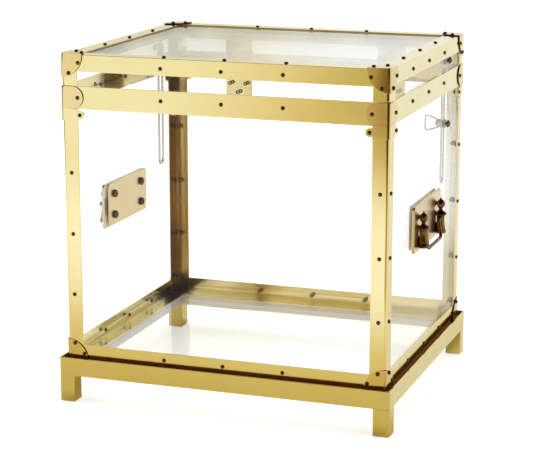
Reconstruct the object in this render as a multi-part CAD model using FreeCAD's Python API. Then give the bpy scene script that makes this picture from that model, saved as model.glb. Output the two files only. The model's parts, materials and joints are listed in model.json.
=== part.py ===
import FreeCAD, Part
import os
from math import sqrt

V = FreeCAD.Vector

# A trunk-style display box of brass angle and clear glass with a hinged glazed lid. It stands in a low,
# four-legged brass stand. Millimetres. X is the width, Y the depth with the front at -Y, Z is up.
# The origin is on the floor, at the middle of the stand.

# Stand
STAND_W = 418.0
STAND_D = 370.0
STAND_TOP = 56.0
STAND_RAIL_H = 22.0
STAND_WALL = 2.0
STAND_LEDGE = 20.0
LEG = 20.0
PAD_T = 1.0
PAD_INSET = 3.0
LINER_W = 20.0

# Trunk body and lid
TRUNK_W = 402.0
TRUNK_D = 348.0
TRUNK_BOTTOM = 51.0
SPLIT_Z = 388.5
TOP_Z = 426.0
LID_GAP = 0.4
ANGLE = 20.0
SHEET = 1.5
BAND_H = 27.0
GLASS = 3.0
GLASS_EDGE_GAP = 0.5

# Corner pieces
CAP_T = 1.5
CAP_R = 27.0
CAP_HOLE_NEAR = 9.5
CAP_HOLE_FAR = 22.0
BRACKET_LOBE = 27.5
BRACKET_HOLE = 20.5
STRAP_H = 14.5
STRAP_EAR_U = 23.0
STRAP_EAR_R = 5.0

# Screws and their nuts
PITCH = 75.0
POST_SCREW_Z = 209.0
BAND_SCREW_DROP = 12.3
BASE_SCREW_RISE = 11.0
LID_SCREW_IN = 12.0
SCREW_HEAD_R = 2.5
SCREW_HEAD_H = 1.8
SCREW_R = 1.1
FIT = 0.05
NUT_R = 2.6
NUT_T = 1.6
SCREW_TAIL = 0.2

# Hinges
HINGE_X = 106.0
HINGE_W = 37.0
HINGE_T = 1.5
HINGE_Y = TRUNK_D / 2 + 3.8
HINGE_Z = SPLIT_Z + LID_GAP / 2
KNUCKLE_R = 3.5
KNUCKLE_GAP = 0.2
PIN_R = 1.75
PIN_HEAD_R = 2.8
PIN_HEAD_T = 1.2
LOWER_LEAF_BOTTOM = 329.0
LEAF_CORNER_R = 3.0
UPPER_LEAF_TOP = 424.0
LEAF_HOLES_LOWER = ((-11.0, 375.0), (11.0, 375.0), (-11.0, 348.0), (11.0, 348.0), (0.0, 336.0))
LEAF_HOLES_UPPER = ((-11.0, 414.0), (11.0, 414.0), (0.0, 399.0))

# Lid stays, measured on the side walls
STAY_Y = 107.0
STAY_PIVOT_Z = 400.5
STAY_W = 16.0
STAY_T = 2.0
STAY_X = 191.5
STAY_SLOT_W = 9.0
STAY_SLOT_START = 30.0
STAY_SLOT_END = 149.5
STAY_PIVOT_R = 2.5
GUIDE_Y = 105.3
GUIDE_Z = 320.5
GUIDE_R = 2.0
SPACER_R = 5.5
BOLT_HEAD_R = 5.0
BOLT_HEAD_H = 3.2
SIDE_GAP = 0.2
PIVOT_NUT_R = 4.5
PIVOT_NUT_T = 3.0
HUB_R = 5.5
HUB_T = 6.0
LOOP_REACH = 15.0
LOOP_HALF = 10.5
LOOP_WIRE_R = 1.0
LOOP_BEND = 3.0
GUIDE_TAIL = 8.0

# Handles on the left and right walls
HANDLE_Z = 219.0
HANDLE_Y = 42.0
HANDLE_BOLT_DZ = 13.5
OUTER_PLATE_Y = 64.0
OUTER_PLATE_Z = (190.0, 246.5)
OUTER_PLATE_T = 3.5
INNER_PLATE_Y = 60.0
INNER_PLATE_Z = (192.5, 247.5)
INNER_PLATE_T = 1.5
PLATE_CLIP = 3.0
POST_AXIS = 5.4
POST_PROFILE = ((5.6, 194.0), (6.6, 197.0), (5.4, 205.0), (5.2, 210.0), (7.0, 214.0), (6.6, 218.0),
                (3.0, 222.0), (1.9, 225.0))
POST_BALL_R = 5.2
POST_BALL_Z = 231.0
STUD_R = 2.0
HANDLE_NUT_AF = 9.0
HANDLE_NUT_T = 3.2
BAIL_R = 2.2
BAIL_AXIS_Z = 214.0
BAIL_END_Y = 38.5
BAIL_ARM_Y = 32.5
BAIL_GRIP_Z = 190.5
BAIL_SHOULDER_BEND = 3.0
BAIL_GRIP_BEND = 6.0
BAIL_HANG = 9.0
BAIL_BORE_Y = 39.0
CUT_REACH = 20.0

# Worked out from the driving dimensions
HALF_W = TRUNK_W / 2
HALF_D = TRUNK_D / 2
LID_BOTTOM = SPLIT_Z + LID_GAP
FLOOR_Z = TRUNK_BOTTOM + SHEET
LID_RAIL_Z = TOP_Z - ANGLE
GLASS_OUT = SHEET
GLASS_IN = SHEET + GLASS
TOP_GLASS_Z = TOP_Z - GLASS_IN
PANEL_X = HALF_W - GLASS_OUT
PANEL_IN_X = HALF_W - GLASS_IN
POST_FOOT_X = PANEL_X + OUTER_PLATE_T
INNER_PLATE_X = PANEL_IN_X - INNER_PLATE_T
HOLE_R = SCREW_R + FIT
HOLE_DEPTH = GLASS_IN + NUT_T + SCREW_TAIL

# Each wall is built in front, with its outer face at -reach, and then turned about Z into its place.
WALLS = {
    "front": (0, HALF_W, HALF_D),
    "right": (90, HALF_D, HALF_W),
    "rear": (180, HALF_W, HALF_D),
    "left": (270, HALF_D, HALF_W),
}
# Corner pieces are built at the front left corner and mirrored into the others.
CORNERS = {
    "front_left": (False, False),
    "front_right": (True, False),
    "rear_left": (False, True),
    "rear_right": (True, True),
}


def box(x0, x1, y0, y1, z0, z1):
    return Part.makeBox(x1 - x0, y1 - y0, z1 - z0, V(x0, y0, z0))


def on_wall(shape, wall):
    turned = shape.copy()
    turned.rotate(V(0, 0, 0), V(0, 0, 1), WALLS[wall][0])
    return turned


def at_corner(shape, corner):
    to_right, to_rear = CORNERS[corner]
    if to_right:
        shape = shape.mirror(V(0, 0, 0), V(1, 0, 0))
    if to_rear:
        shape = shape.mirror(V(0, 0, 0), V(0, 1, 0))
    return shape


def to_left(shape):
    return shape.mirror(V(0, 0, 0), V(1, 0, 0))


def fuse_all(shapes):
    return shapes[0].multiFuse(shapes[1:]).removeSplitter()


def touching(shape, cutters):
    return [cutter for cutter in cutters if cutter.BoundBox.intersect(shape.BoundBox)]


def drilled(shape, cutters):
    near = touching(shape, cutters)
    if not near:
        return shape
    return shape.cut(Part.makeCompound(near))


def save(name, shape):
    shape.exportStep("parts/" + name + ".step")


# ---- fasteners ----

def turned_solid(outline):
    """A solid of revolution about Z from a closed outline in the XZ plane."""
    solid = Part.Face(outline).revolve(V(0, 0, 0), V(0, 0, 1), 360)
    if solid.Volume < 0:
        solid.reverse()
    return solid


def dome_head(radius, height):
    """A round head on the plane z = 0, with its top at height."""
    ball_r = (radius ** 2 + height ** 2) / (2 * height)
    ball = Part.makeSphere(ball_r, V(0, 0, height - ball_r))
    return ball.common(Part.makeCylinder(radius, height))


def screw(lift, bore_depth):
    """A screw pointing down, its head resting at z = lift and its tail at z = -bore_depth."""
    head = dome_head(SCREW_HEAD_R, SCREW_HEAD_H)
    head.translate(V(0, 0, lift))
    shank = Part.makeCylinder(SCREW_R, lift + bore_depth, V(0, 0, -bore_depth))
    return head.fuse(shank)


def screw_nut():
    """The round nut of a screw, under the inner face of the glass."""
    body = Part.makeCylinder(NUT_R, NUT_T, V(0, 0, -GLASS_IN - NUT_T))
    bore = Part.makeCylinder(HOLE_R, NUT_T, V(0, 0, -GLASS_IN - NUT_T))
    return body.cut(bore)


def screw_hole():
    return Part.makeCylinder(HOLE_R, HOLE_DEPTH + CAP_T + HINGE_T, V(0, 0, -HOLE_DEPTH))


def place_on_wall(item, wall, u, z):
    """Turn an item that points down so that it enters a wall from outside at (u, z)."""
    placed = item.copy()
    placed.rotate(V(0, 0, 0), V(1, 0, 0), 90)
    placed.translate(V(u, -WALLS[wall][2], z))
    return on_wall(placed, wall)


def place_on_top(item, x, y):
    placed = item.copy()
    placed.translate(V(x, y, TOP_Z))
    return placed


def both_ends(half, inset, z, lift):
    return [(half - inset, z, lift), (inset - half, z, lift)]


def trunk_screw_points(wall):
    """Screws of one wall of the body as (u, z, lift of the head off the brass)."""
    half = WALLS[wall][1]
    points = []
    for step in (-1, 0, 1):
        points += both_ends(half, ANGLE / 2, POST_SCREW_Z + step * PITCH, 0)
        points.append((step * PITCH, SPLIT_Z - BAND_SCREW_DROP, 0))
        points.append((step * PITCH, TRUNK_BOTTOM + BASE_SCREW_RISE, 0))
    points += both_ends(half, BRACKET_HOLE, SPLIT_Z - BAND_H / 2, CAP_T)
    points += both_ends(half, STRAP_EAR_U, SPLIT_Z - BAND_H - STRAP_H / 2, CAP_T)
    points += both_ends(half, CAP_HOLE_NEAR, TRUNK_BOTTOM + CAP_HOLE_FAR, CAP_T)
    points += both_ends(half, CAP_HOLE_FAR, TRUNK_BOTTOM + CAP_HOLE_NEAR, CAP_T)
    if wall == "rear":
        for x in (-HINGE_X, HINGE_X):
            points += [(x + u, z, HINGE_T) for u, z in LEAF_HOLES_LOWER]
    return points


def lid_screw_points(wall):
    half = WALLS[wall][1]
    points = [(step * PITCH, TOP_Z - LID_SCREW_IN, 0) for step in (-1, 0, 1)]
    points += both_ends(half, CAP_HOLE_FAR, TOP_Z - CAP_HOLE_NEAR, CAP_T)
    points += both_ends(half, CAP_HOLE_NEAR, TOP_Z - CAP_HOLE_FAR, CAP_T)
    if wall == "rear":
        for x in (-HINGE_X, HINGE_X):
            points += [(x + u, z, HINGE_T) for u, z in LEAF_HOLES_UPPER]
    return points


def lid_top_points():
    """Screws of the lid's top face as (x, y, lift)."""
    points = []
    for step in (-1, 0, 1):
        for side in (-1, 1):
            points.append((step * PITCH, side * (HALF_D - LID_SCREW_IN), 0))
            points.append((side * (HALF_W - LID_SCREW_IN), step * PITCH, 0))
    for sx in (-1, 1):
        for sy in (-1, 1):
            for dx, dy in ((CAP_HOLE_FAR, CAP_HOLE_NEAR), (CAP_HOLE_NEAR, CAP_HOLE_FAR)):
                points.append((sx * (HALF_W - dx), sy * (HALF_D - dy), CAP_T))
    return points


def wall_items(make, point_list):
    """One item for each wall point. make takes the lift of the head."""
    items = []
    for wall in WALLS:
        for u, z, lift in point_list(wall):
            items.append(place_on_wall(make(lift), wall, u, z))
    return items


def top_items(make):
    return [place_on_top(make(lift), x, y) for x, y, lift in lid_top_points()]


def make_screw(lift):
    return screw(lift, HOLE_DEPTH)


def make_nut(lift):
    return screw_nut()


def make_hole(lift):
    return screw_hole()


# ---- wall pieces ----

def mitre_wedge(half, reach, run, z0, z1):
    """The part of a frame that belongs to the front side when its corners are cut at 45 degrees."""
    corners = [
        V(-half, -reach, z0),
        V(half, -reach, z0),
        V(half - run, run - reach, z0),
        V(run - half, run - reach, z0),
        V(-half, -reach, z0),
    ]
    return Part.Face(Part.makePolygon(corners)).extrude(V(0, 0, z1 - z0))


def mitred_angle(half, reach, z0, z1, thickness, flange, flange_z):
    """An angle bar: an upright outer wall and a level flange that points inwards at flange_z."""
    wall = box(-half, half, -reach, thickness - reach, z0, z1)
    level = box(-half, half, -reach, flange - reach, flange_z, flange_z + thickness)
    bar = fuse_all([wall, level])
    return bar.common(mitre_wedge(half, reach, flange, z0, z1))


def base_rail(wall):
    half, reach = WALLS[wall][1:]
    end = half - ANGLE
    upright = box(-end, end, -reach, SHEET - reach, TRUNK_BOTTOM, TRUNK_BOTTOM + ANGLE)
    level = box(-end, end, -reach, ANGLE - reach, TRUNK_BOTTOM, FLOOR_Z)
    return on_wall(fuse_all([upright, level]), wall)


def top_band(wall):
    half, reach = WALLS[wall][1:]
    end = half - ANGLE
    return on_wall(box(-end, end, -reach, SHEET - reach, SPLIT_Z - BAND_H, SPLIT_Z), wall)


def lid_rail(wall):
    half, reach = WALLS[wall][1:]
    return on_wall(mitred_angle(half, reach, LID_RAIL_Z, TOP_Z, SHEET, ANGLE, TOP_Z - SHEET), wall)


def pane(wall, z0, z1):
    """A pane behind the brass. The left and right panes run the full depth, the others fit between."""
    half, reach = WALLS[wall][1:]
    end = half - GLASS_OUT
    if wall in ("front", "rear"):
        end = half - GLASS_IN
    return on_wall(box(-end, end, GLASS_OUT - reach, GLASS_IN - reach, z0, z1), wall)


# ---- corner pieces, at the front left corner ----

def corner_angle(z0, z1):
    along_front = box(-HALF_W, ANGLE - HALF_W, -HALF_D, SHEET - HALF_D, z0, z1)
    along_side = box(-HALF_W, SHEET - HALF_W, -HALF_D, ANGLE - HALF_D, z0, z1)
    return fuse_all([along_front, along_side])


def corner_cap(z, upwards):
    """Three quarter-round leaves that wrap a corner of the frame, two upright and one level."""
    outer = box(-CAP_T, CAP_R, -CAP_T, CAP_R, -CAP_T, CAP_R)
    inner = box(0, CAP_R, 0, CAP_R, 0, CAP_R)
    shell = outer.cut(inner).common(Part.makeSphere(CAP_R))
    if not upwards:
        shell = shell.mirror(V(0, 0, 0), V(0, 0, 1))
    shell.translate(V(-HALF_W, -HALF_D, z))
    return shell


def bracket_leaf():
    """The front leaf of a body corner bracket: a round-ended lobe over a narrower strap with an ear."""
    lobe_r = BAND_H / 2
    lobe_z = SPLIT_Z - lobe_r
    strap_z = SPLIT_Z - BAND_H - STRAP_H
    strap_mid = strap_z + STRAP_H / 2
    plate_y = (-HALF_D - CAP_T, -HALF_D)

    def disc(u, z, radius):
        return Part.makeCylinder(radius, CAP_T, V(u - HALF_W, plate_y[0], z), V(0, 1, 0))

    return fuse_all([
        box(-HALF_W - CAP_T, BRACKET_LOBE - lobe_r - HALF_W, *plate_y, SPLIT_Z - BAND_H, SPLIT_Z),
        disc(BRACKET_LOBE - lobe_r, lobe_z, lobe_r),
        box(-HALF_W - CAP_T, ANGLE - HALF_W, *plate_y, strap_z, SPLIT_Z - BAND_H),
        box(ANGLE - HALF_W, STRAP_EAR_U - HALF_W, *plate_y, strap_mid - STRAP_EAR_R,
            strap_mid + STRAP_EAR_R),
        disc(STRAP_EAR_U, strap_mid, STRAP_EAR_R),
    ])


def corner_bracket():
    """The front leaf and the same leaf folded round the corner onto the side wall."""
    front = bracket_leaf()
    side = front.copy()
    side.translate(V(HALF_W, HALF_D, 0))
    side.rotate(V(0, 0, 0), V(0, 0, 1), -90)
    side = side.mirror(V(0, 0, 0), V(0, 1, 0))
    side.translate(V(-HALF_W, -HALF_D, 0))
    return fuse_all([front, side])


# ---- stand ----

def stand_rail(wall):
    half, reach = WALLS[wall][1:]
    half += (STAND_W - TRUNK_W) / 2 if wall in ("front", "rear") else (STAND_D - TRUNK_D) / 2
    reach += (STAND_D - TRUNK_D) / 2 if wall in ("front", "rear") else (STAND_W - TRUNK_W) / 2
    bottom = STAND_TOP - STAND_RAIL_H
    bar = mitred_angle(half, reach, bottom, STAND_TOP, STAND_WALL, STAND_LEDGE, bottom)
    return on_wall(bar, wall)


def stand_leg():
    x = -STAND_W / 2
    y = -STAND_D / 2
    return box(x, x + LEG, y, y + LEG, PAD_T, STAND_TOP - STAND_RAIL_H)


def foot_pad():
    x = -STAND_W / 2 + PAD_INSET
    y = -STAND_D / 2 + PAD_INSET
    side = LEG - 2 * PAD_INSET
    return box(x, x + side, y, y + side, 0, PAD_T)


def stand_liner():
    """A dark bearer ring on the stand's ledge. The trunk's corner caps rest on it."""
    x = STAND_W / 2 - STAND_WALL
    y = STAND_D / 2 - STAND_WALL
    z0 = STAND_TOP - STAND_RAIL_H + STAND_WALL
    z1 = TRUNK_BOTTOM - CAP_T
    outer = box(-x, x, -y, y, z0, z1)
    inner = box(LINER_W - x, x - LINER_W, LINER_W - y, y - LINER_W, z0, z1)
    return outer.cut(inner)


# ---- hinges, at the right-hand place on the rear wall ----

def knuckle(x0, x1):
    return Part.makeCylinder(KNUCKLE_R, x1 - x0, V(x0, HINGE_Y, HINGE_Z), V(1, 0, 0))


def hinge_spans(x):
    """The three knuckles' spans along X: left, middle and right."""
    third = HINGE_W / 3
    start = x - HINGE_W / 2
    left = (start, start + third - KNUCKLE_GAP / 2)
    middle = (start + third + KNUCKLE_GAP / 2, start + 2 * third - KNUCKLE_GAP / 2)
    right = (start + 2 * third + KNUCKLE_GAP / 2, start + HINGE_W)
    return left, middle, right


def leaf_bore(x):
    return Part.makeCylinder(PIN_R + FIT, HINGE_W, V(x - HINGE_W / 2, HINGE_Y, HINGE_Z), V(1, 0, 0))


def lower_leaf(x):
    left, middle, right = hinge_spans(x)
    top = HINGE_Z - KNUCKLE_R - KNUCKLE_GAP * 2
    side = HINGE_W / 2
    round_z = LOWER_LEAF_BOTTOM + LEAF_CORNER_R
    round_x = side - LEAF_CORNER_R
    pieces = [
        box(x - side, x + side, HALF_D, HALF_D + HINGE_T, round_z, top),
        box(x - round_x, x + round_x, HALF_D, HALF_D + HINGE_T, LOWER_LEAF_BOTTOM, round_z),
    ]
    for corner_x in (x - round_x, x + round_x):
        pieces.append(Part.makeCylinder(LEAF_CORNER_R, HINGE_T, V(corner_x, HALF_D, round_z), V(0, 1, 0)))
    for span in (left, right):
        pieces.append(box(*span, HALF_D, HALF_D + HINGE_T, top, HINGE_Z))
        pieces.append(knuckle(*span))
    return fuse_all(pieces).cut(leaf_bore(x))


def upper_leaf(x):
    left, middle, right = hinge_spans(x)
    bottom = HINGE_Z + KNUCKLE_R + KNUCKLE_GAP * 2
    plate = box(x - HINGE_W / 2, x + HINGE_W / 2, HALF_D, HALF_D + HINGE_T, bottom, UPPER_LEAF_TOP)
    web = box(*middle, HALF_D, HALF_D + HINGE_T, HINGE_Z + KNUCKLE_GAP, bottom)
    return fuse_all([plate, web, knuckle(*middle)]).cut(leaf_bore(x))


def hinge_pin(x):
    start = x - HINGE_W / 2
    shaft = Part.makeCylinder(PIN_R, HINGE_W, V(start, HINGE_Y, HINGE_Z), V(1, 0, 0))
    ends = []
    for end in (start - PIN_HEAD_T, start + HINGE_W):
        ends.append(Part.makeCylinder(PIN_HEAD_R, PIN_HEAD_T, V(end, HINGE_Y, HINGE_Z), V(1, 0, 0)))
    return fuse_all([shaft] + ends)


# ---- lid stays, on the right wall ----

def along_x(radius, x0, x1, y, z):
    return Part.makeCylinder(radius, x1 - x0, V(x0, y, z), V(1, 0, 0))


def bolt_head(y, z):
    head = dome_head(BOLT_HEAD_R, BOLT_HEAD_H)
    head.rotate(V(0, 0, 0), V(0, 1, 0), 90)
    head.translate(V(PANEL_X, y, z))
    return head


def stay():
    """A flat bar hanging from its pivot, with a long slot for the guide bolt."""
    def flat(width, top, bottom):
        x = (STAY_X, STAY_X + STAY_T)
        side = width / 2
        return fuse_all([
            box(*x, STAY_Y - side, STAY_Y + side, STAY_PIVOT_Z - bottom, STAY_PIVOT_Z - top),
            along_x(side, *x, STAY_Y, STAY_PIVOT_Z - top),
            along_x(side, *x, STAY_Y, STAY_PIVOT_Z - bottom),
        ])

    bar = flat(STAY_W, 0, STAY_SLOT_END)
    slot = flat(STAY_SLOT_W, STAY_SLOT_START, STAY_SLOT_END)
    bore = along_x(STAY_PIVOT_R + FIT, STAY_X, STAY_X + STAY_T, STAY_Y, STAY_PIVOT_Z)
    return bar.cut(slot).cut(bore)


def pivot_bolt():
    """The stay's pivot: head outside the glass, spacer, shank and a nut past the bar."""
    nut_end = STAY_X - SIDE_GAP
    return fuse_all([
        bolt_head(STAY_Y, STAY_PIVOT_Z),
        along_x(STAY_PIVOT_R, nut_end - PIVOT_NUT_T, PANEL_X, STAY_Y, STAY_PIVOT_Z),
        along_x(SPACER_R, STAY_X + STAY_T + SIDE_GAP, PANEL_IN_X, STAY_Y, STAY_PIVOT_Z),
        along_x(PIVOT_NUT_R, nut_end - PIVOT_NUT_T, nut_end, STAY_Y, STAY_PIVOT_Z),
    ])


def guide_bolt():
    """The bolt in the body's side pane that the slot runs on and the wing nut clamps."""
    return fuse_all([
        bolt_head(GUIDE_Y, GUIDE_Z),
        along_x(GUIDE_R, STAY_X - SIDE_GAP - GUIDE_TAIL, PANEL_X, GUIDE_Y, GUIDE_Z),
        along_x(SPACER_R, STAY_X + STAY_T + SIDE_GAP, PANEL_IN_X, GUIDE_Y, GUIDE_Z),
    ])


def wing_nut():
    """A round hub with an open triangular loop of wire to turn it by."""
    hub_end = STAY_X - SIDE_GAP
    hub_in = hub_end - HUB_T
    hub = along_x(HUB_R, hub_in, hub_end, GUIDE_Y, GUIDE_Z)
    bore = along_x(GUIDE_R + FIT, hub_in, hub_end, GUIDE_Y, GUIDE_Z)
    root = HUB_R - LOOP_WIRE_R
    corners = [
        (V(hub_in + HUB_T / 2, GUIDE_Y, GUIDE_Z + root), 0),
        (V(hub_in - LOOP_REACH, GUIDE_Y, GUIDE_Z + LOOP_HALF), LOOP_BEND),
        (V(hub_in - LOOP_REACH, GUIDE_Y, GUIDE_Z - LOOP_HALF), LOOP_BEND),
        (V(hub_in + HUB_T / 2, GUIDE_Y, GUIDE_Z - root), 0),
    ]
    return fuse_all([hub, bent_rod(corners, LOOP_WIRE_R)]).cut(bore)


# ---- bent rods ----

def rounded_wire(corners):
    """Straight runs joined by tangent arcs. Each corner is a point and its bend radius."""
    edges = []
    last = corners[0][0]
    for before, here, after in zip(corners, corners[1:], corners[2:]):
        point, radius = here
        back = (before[0] - point).normalize()
        ahead = (after[0] - point).normalize()
        middle = (back + ahead).normalize()
        half_cos = middle.dot(back)
        half_sin = sqrt(1 - half_cos ** 2)
        setback = radius * half_cos / half_sin
        centre = point + middle * (radius / half_sin)
        start = point + back * setback
        end = point + ahead * setback
        edges.append(Part.makeLine(last, start))
        edges.append(Part.Arc(start, centre - middle * radius, end).toShape())
        last = end
    edges.append(Part.makeLine(last, corners[-1][0]))
    return Part.Wire(edges)


def bent_rod(corners, radius):
    path = rounded_wire(corners)
    start = corners[0][0]
    direction = corners[1][0] - start
    ring = Part.Wire(Part.makeCircle(radius, start, direction))
    return path.makePipeShell([ring], True, False)


# ---- handles, on the right wall ----

def clipped_plate(x0, x1, half_y, z_range):
    z0, z1 = z_range
    outline = [
        (-half_y + PLATE_CLIP, z0), (half_y - PLATE_CLIP, z0), (half_y, z0 + PLATE_CLIP),
        (half_y, z1 - PLATE_CLIP), (half_y - PLATE_CLIP, z1), (-half_y + PLATE_CLIP, z1),
        (-half_y, z1 - PLATE_CLIP), (-half_y, z0 + PLATE_CLIP), (-half_y + PLATE_CLIP, z0),
    ]
    polygon = Part.makePolygon([V(x0, y, z) for y, z in outline])
    return Part.Face(polygon).extrude(V(x1 - x0, 0, 0))


def stud_places():
    return [(y, HANDLE_Z + dz) for y in (-HANDLE_Y, HANDLE_Y) for dz in (-HANDLE_BOLT_DZ, HANDLE_BOLT_DZ)]


def stud_bores():
    inner = INNER_PLATE_X - HANDLE_NUT_T
    return [along_x(STUD_R + FIT, inner, POST_FOOT_X, y, z) for y, z in stud_places()]


def outer_plate():
    plate = clipped_plate(PANEL_X, POST_FOOT_X, OUTER_PLATE_Y, OUTER_PLATE_Z)
    return drilled(plate, stud_bores())


def inner_plate():
    plate = clipped_plate(INNER_PLATE_X, PANEL_IN_X, INNER_PLATE_Y, INNER_PLATE_Z)
    return drilled(plate, stud_bores())


def handle_post(y):
    """A turned post with a ball finial, flattened against the plate, on two studs."""
    axis_x = POST_FOOT_X + POST_AXIS
    base_z = POST_PROFILE[0][1]
    outline = [V(0, 0, base_z)] + [V(r, 0, z) for r, z in POST_PROFILE]
    outline += [V(POST_PROFILE[-1][0], 0, POST_BALL_Z), V(0, 0, POST_BALL_Z), V(0, 0, base_z)]
    turned = turned_solid(Part.makePolygon(outline))
    turned.translate(V(axis_x, y, 0))
    ball = Part.makeSphere(POST_BALL_R, V(axis_x, y, POST_BALL_Z))
    post = fuse_all([turned, ball])
    behind = box(PANEL_X - CUT_REACH, POST_FOOT_X, y - CUT_REACH, y + CUT_REACH, 0, SPLIT_Z)
    side = 1 if y > 0 else -1
    pin_bore = Part.makeCylinder(BAIL_R + FIT, CUT_REACH,
                                 V(axis_x, side * BAIL_BORE_Y, BAIL_AXIS_Z), V(0, -side, 0))
    post = post.cut(behind).cut(pin_bore)
    stud_in = INNER_PLATE_X - HANDLE_NUT_T
    studs = [along_x(STUD_R, stud_in, axis_x - BAIL_R, y, HANDLE_Z + dz)
             for dz in (-HANDLE_BOLT_DZ, HANDLE_BOLT_DZ)]
    return fuse_all([post] + studs)


def hex_nut(y, z):
    x0 = INNER_PLATE_X - HANDLE_NUT_T
    corner_r = HANDLE_NUT_AF / sqrt(3)
    ring = []
    for step in range(7):
        arm = V(0, 0, corner_r)
        turned = FreeCAD.Rotation(V(1, 0, 0), 60 * step).multVec(arm)
        ring.append(V(x0, y, z) + turned)
    body = Part.Face(Part.makePolygon(ring)).extrude(V(HANDLE_NUT_T, 0, 0))
    return body.cut(along_x(STUD_R + FIT, x0, x0 + HANDLE_NUT_T, y, z))


def bail():
    """The swinging grip: a bent rod whose two ends turn in the posts. It hangs a little off the plate."""
    x = POST_FOOT_X + POST_AXIS
    rod = bent_rod([
        (V(x, -BAIL_END_Y, BAIL_AXIS_Z), 0),
        (V(x, -BAIL_ARM_Y, BAIL_AXIS_Z), BAIL_SHOULDER_BEND),
        (V(x, -BAIL_ARM_Y, BAIL_GRIP_Z), BAIL_GRIP_BEND),
        (V(x, BAIL_ARM_Y, BAIL_GRIP_Z), BAIL_GRIP_BEND),
        (V(x, BAIL_ARM_Y, BAIL_AXIS_Z), BAIL_SHOULDER_BEND),
        (V(x, BAIL_END_Y, BAIL_AXIS_Z), 0),
    ], BAIL_R)
    rod.rotate(V(x, 0, BAIL_AXIS_Z), V(0, 1, 0), -BAIL_HANG)
    return rod


# ---- write every node ----

os.makedirs("parts", exist_ok=True)

trunk_holes = wall_items(make_hole, trunk_screw_points)
lid_holes = wall_items(make_hole, lid_screw_points) + top_items(make_hole)
guide_bores = [along_x(GUIDE_R + FIT, PANEL_IN_X, PANEL_X, GUIDE_Y, GUIDE_Z)]
guide_bores.append(to_left(guide_bores[0]))
pivot_bores = [along_x(STAY_PIVOT_R + FIT, PANEL_IN_X, PANEL_X, STAY_Y, STAY_PIVOT_Z)]
pivot_bores.append(to_left(pivot_bores[0]))
handle_bores = stud_bores() + [to_left(bore) for bore in stud_bores()]
body_cutters = trunk_holes + guide_bores + handle_bores

for wall in WALLS:
    save("stand_rail_" + wall, stand_rail(wall))
    save("base_rail_" + wall, drilled(base_rail(wall), body_cutters))
    save("top_band_" + wall, drilled(top_band(wall), body_cutters))
    save("panel_" + wall, drilled(pane(wall, FLOOR_Z, SPLIT_Z - GLASS_EDGE_GAP), body_cutters))
    save("lid_rail_" + wall, drilled(lid_rail(wall), lid_holes))
    strip = pane(wall, LID_BOTTOM + GLASS_EDGE_GAP, TOP_GLASS_Z)
    save("lid_strip_" + wall, drilled(strip, lid_holes + pivot_bores))

caps_low = []
caps_high = []
brackets = []
legs = []
pads = []
lid_posts = []
for corner in CORNERS:
    post = at_corner(corner_angle(TRUNK_BOTTOM, SPLIT_Z), corner)
    save("post_" + corner, drilled(post, body_cutters))
    caps_low.append(drilled(at_corner(corner_cap(TRUNK_BOTTOM, True), corner), trunk_holes))
    caps_high.append(drilled(at_corner(corner_cap(TOP_Z, False), corner), lid_holes))
    brackets.append(drilled(at_corner(corner_bracket(), corner), trunk_holes))
    lid_posts.append(drilled(at_corner(corner_angle(LID_BOTTOM, LID_RAIL_Z), corner), lid_holes))
    legs.append(at_corner(stand_leg(), corner))
    pads.append(at_corner(foot_pad(), corner))
save("base_corner_caps", Part.makeCompound(caps_low))
save("lid_corner_caps", Part.makeCompound(caps_high))
save("corner_brackets", Part.makeCompound(brackets))
save("lid_corner_posts", Part.makeCompound(lid_posts))
save("stand_legs", Part.makeCompound(legs))
save("foot_pads", Part.makeCompound(pads))
save("stand_liner", stand_liner())

floor_x = HALF_W - GLASS_IN
floor_y = HALF_D - GLASS_IN
save("floor_panel", box(-floor_x, floor_x, -floor_y, floor_y, FLOOR_Z, FLOOR_Z + GLASS))
top_x = HALF_W - SHEET
top_y = HALF_D - SHEET
top_panel = box(-top_x, top_x, -top_y, top_y, TOP_GLASS_Z, TOP_Z - SHEET)
save("lid_top_panel", drilled(top_panel, lid_holes))

save("trunk_screws", Part.makeCompound(wall_items(make_screw, trunk_screw_points)))
save("trunk_screw_nuts", Part.makeCompound(wall_items(make_nut, trunk_screw_points)))
save("lid_screws", Part.makeCompound(wall_items(make_screw, lid_screw_points) + top_items(make_screw)))
save("lid_screw_nuts", Part.makeCompound(wall_items(make_nut, lid_screw_points) + top_items(make_nut)))

lower_leaves = [drilled(lower_leaf(x), trunk_holes) for x in (-HINGE_X, HINGE_X)]
upper_leaves = [drilled(upper_leaf(x), lid_holes) for x in (-HINGE_X, HINGE_X)]
save("hinge_leaves_lower", Part.makeCompound(lower_leaves))
save("hinge_leaves_upper", Part.makeCompound(upper_leaves))
save("hinge_pins", Part.makeCompound([hinge_pin(x) for x in (-HINGE_X, HINGE_X)]))

save("stay_pivot_bolts", Part.makeCompound([pivot_bolt(), to_left(pivot_bolt())]))
save("guide_bolts", Part.makeCompound([guide_bolt(), to_left(guide_bolt())]))
handle_posts = Part.makeCompound([handle_post(-HANDLE_Y), handle_post(HANDLE_Y)])
nuts = [hex_nut(y, z) for y, z in stud_places()]
save("handle_nuts", Part.makeCompound(nuts + [to_left(nut) for nut in nuts]))
save("handle_plates_inner", Part.makeCompound([inner_plate(), to_left(inner_plate())]))
for side, place in (("right", Part.Shape.copy), ("left", to_left)):
    save("stay_" + side, place(stay()))
    save("wing_nut_" + side, place(wing_nut()))
    save("handle_plate_outer_" + side, place(outer_plate()))
    save("handle_posts_" + side, place(handle_posts))
    save("handle_bail_" + side, place(bail()))
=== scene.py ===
import json
from math import cos, pi, radians, sin

import bmesh
import bpy
from mathutils import Matrix, Vector


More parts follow.
